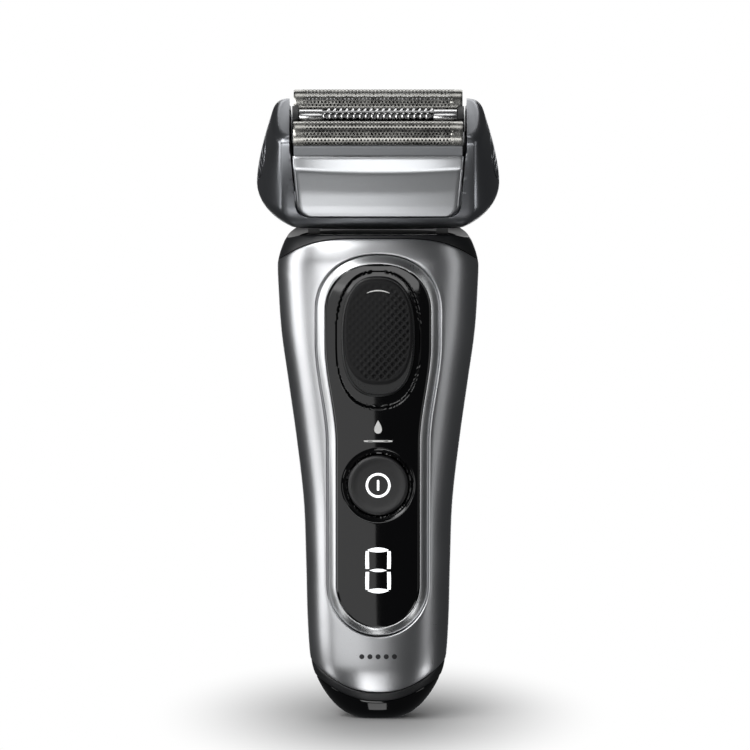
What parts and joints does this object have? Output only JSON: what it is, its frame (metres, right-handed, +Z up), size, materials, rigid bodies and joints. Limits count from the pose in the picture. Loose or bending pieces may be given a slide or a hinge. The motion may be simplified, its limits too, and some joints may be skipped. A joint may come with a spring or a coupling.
{
  "type": "foil shaver",
  "caption": "Cordless foil shaver: slim handle, swivelling head with sprung foils over driven cutters, lift-off cassette and a pop-up rear trimmer.",
  "frame": {"origin": "middle of the footprint at the underside of the base cap", "axes": "+Z up the handle, -Y the front with the panel and controls, +X to the front view's right"},
  "size_m": [0.0624, 0.0417, 0.1626],
  "materials": {
    "silver_shell": "satin silver metallic lacquer on moulded plastic",
    "bright_bezel": "brushed, bright chamfer",
    "gloss_black": "high gloss, moulded",
    "matt_black": "fine spark-eroded texture",
    "soft_grip": "matt elastomer",
    "head_silver": "satin grey metallic lacquer",
    "head_light": "satin light grey metallic lacquer",
    "bright_steel": "ground and polished",
    "spring_steel": "drawn wire",
    "grey_plastic": "moulded",
    "gilt_contact": "plated",
    "copper_wire": "enamelled copper winding",
    "green_board": "solder mask",
    "cell_wrap": "shrink sleeve"
  },
  "bodies": {
    "handle": {"front_shell": "silver_shell", "front_bezel": "bright_bezel", "display_panel": "gloss_black", "rear_housing": "matt_black", "rear_grip": "soft_grip", "base_band": "matt_black", "base_cap": "gloss_black", "charging_socket": "matt_black", "socket_pin_left": "gilt_contact", "socket_pin_right": "gilt_contact", "top_collar": "matt_black", "swivel_yoke": "matt_black", "neck_seal": "soft_grip", "inner_frame": "grey_plastic", "battery_cell": "cell_wrap", "circuit_board": "green_board", "display_module": "grey_plastic", "power_switch": "matt_black", "control_chip": "matt_black", "case_screw": "bright_steel"},
    "lock": {"lock_slider": "matt_black", "slider_pad": "soft_grip", "lock_bar": "bright_steel"},
    "power": {"power_button": "gloss_black"},
    "pop_up_trimmer": {"trimmer_slide": "matt_black", "trimmer_comb": "bright_steel"},
    "pop_up_blade": {"trimmer_blade": "bright_steel"},
    "head": {"head_housing": "head_silver", "head_deck": "matt_black", "motor_frame": "bright_steel", "motor_core": "grey_plastic", "motor_coil": "copper_wire", "leaf_spring_left": "spring_steel", "leaf_spring_right": "spring_steel", "swivel_pin_left": "bright_steel", "swivel_pin_right": "bright_steel", "release_spring_left": "spring_steel", "release_spring_right": "spring_steel", "cutter_spring_front": "spring_steel", "cutter_spring_rear": "spring_steel"},
    "release_left": {"release_button_left": "head_silver"},
    "release_right": {"release_button_right": "head_silver"},
    "front_armature": {"armature_front": "bright_steel", "magnet_front": "grey_plastic"},
    "rear_armature": {"armature_rear": "bright_steel", "magnet_rear": "grey_plastic"},
    "cassette": {"cassette_frame": "head_light", "cassette_deck": "matt_black"},
    "front_foil_unit": {"foil_front": "bright_steel", "foil_frame_front": "head_light"},
    "rear_foil_unit": {"foil_rear": "bright_steel", "foil_frame_rear": "head_light"},
    "middle_trimmer_unit": {"trimmer_carrier": "matt_black", "trimmer_guard": "bright_steel"},
    "front_cutter": {"cutter_block_front": "bright_steel"},
    "rear_cutter": {"cutter_block_rear": "bright_steel"},
    "middle_cutter": {"middle_blade": "bright_steel"}
  },
  "joints": [
    {"name": "head_swivel", "type": "hinge", "parent": "handle", "child": "head", "pos_m": [0, -0.002, 0.1389], "axis": [1, 0, 0], "range_deg": [-15, 15], "stiffness_Nm_per_rad": 0.3},
    {"name": "lock_slide", "type": "slide", "parent": "handle", "child": "lock", "axis": [0, 0, 1], "range_m": [-0.0028, 0]},
    {"name": "power_press", "type": "slide", "parent": "handle", "child": "power", "axis": [0, 1, 0], "range_m": [0, 0.0008], "stiffness_N_per_m": 800},
    {"name": "trimmer_raise", "type": "slide", "parent": "handle", "child": "pop_up_trimmer", "axis": [0, 0, 1], "range_m": [0, 0.01]},
    {"name": "pop_up_blade_stroke", "type": "slide", "parent": "pop_up_trimmer", "child": "pop_up_blade", "axis": [1, 0, 0], "range_m": [-0.0009, 0.0009]},
    {"name": "motor_stroke", "type": "slide", "parent": "head", "child": "front_armature", "axis": [1, 0, 0], "range_m": [-0.0012, 0.0012], "stiffness_N_per_m": 1500},
    {"name": "rear_armature_stroke", "type": "slide", "parent": "head", "child": "rear_armature", "axis": [1, 0, 0], "range_m": [-0.0013, 0.0013]},
    {"name": "cassette_lift", "type": "slide", "parent": "head", "child": "cassette", "axis": [0, -0.4067, 0.9135], "range_m": [0, 0.03]},
    {"name": "front_foil_float", "type": "slide", "parent": "cassette", "child": "front_foil_unit", "axis": [0, 0.4067, -0.9135], "range_m": [0, 0.0013], "stiffness_N_per_m": 900, "springref_m": -0.0006, "deforming": ["cutter_spring_front"]},
    {"name": "rear_foil_float", "type": "slide", "parent": "cassette", "child": "rear_foil_unit", "axis": [0, 0.4067, -0.9135], "range_m": [0, 0.0013], "stiffness_N_per_m": 900, "springref_m": -0.0006, "deforming": ["cutter_spring_rear"]},
    {"name": "middle_trimmer_float", "type": "slide", "parent": "cassette", "child": "middle_trimmer_unit", "axis": [0, 0.4067, -0.9135], "range_m": [0, 0.0013], "stiffness_N_per_m": 900, "springref_m": -0.0006},
    {"name": "front_cutter_stroke", "type": "slide", "parent": "front_foil_unit", "child": "front_cutter", "axis": [1, 0, 0], "range_m": [-0.0013, 0.0013]},
    {"name": "rear_cutter_stroke", "type": "slide", "parent": "rear_foil_unit", "child": "rear_cutter", "axis": [1, 0, 0], "range_m": [-0.0013, 0.0013]},
    {"name": "middle_cutter_stroke", "type": "slide", "parent": "middle_trimmer_unit", "child": "middle_cutter", "axis": [1, 0, 0], "range_m": [-0.0013, 0.0013]},
    {"name": "release_press_left", "type": "slide", "parent": "head", "child": "release_left", "axis": [1, 0, 0], "range_m": [0, 0.0012], "stiffness_N_per_m": 900, "deforming": ["release_spring_left"]},
    {"name": "release_press_right", "type": "slide", "parent": "head", "child": "release_right", "axis": [-1, 0, 0], "range_m": [0, 0.0012], "stiffness_N_per_m": 900, "deforming": ["release_spring_right"]}
  ],
  "couplings": [
    {"joint": "rear_armature_stroke", "follows": "motor_stroke", "ratio": -1},
    {"joint": "front_cutter_stroke", "follows": "motor_stroke", "ratio": 1},
    {"joint": "rear_cutter_stroke", "follows": "motor_stroke", "ratio": -1},
    {"joint": "middle_cutter_stroke", "follows": "motor_stroke", "ratio": 1},
    {"joint": "pop_up_blade_stroke", "follows": "motor_stroke", "ratio": 0.7}
  ]
}
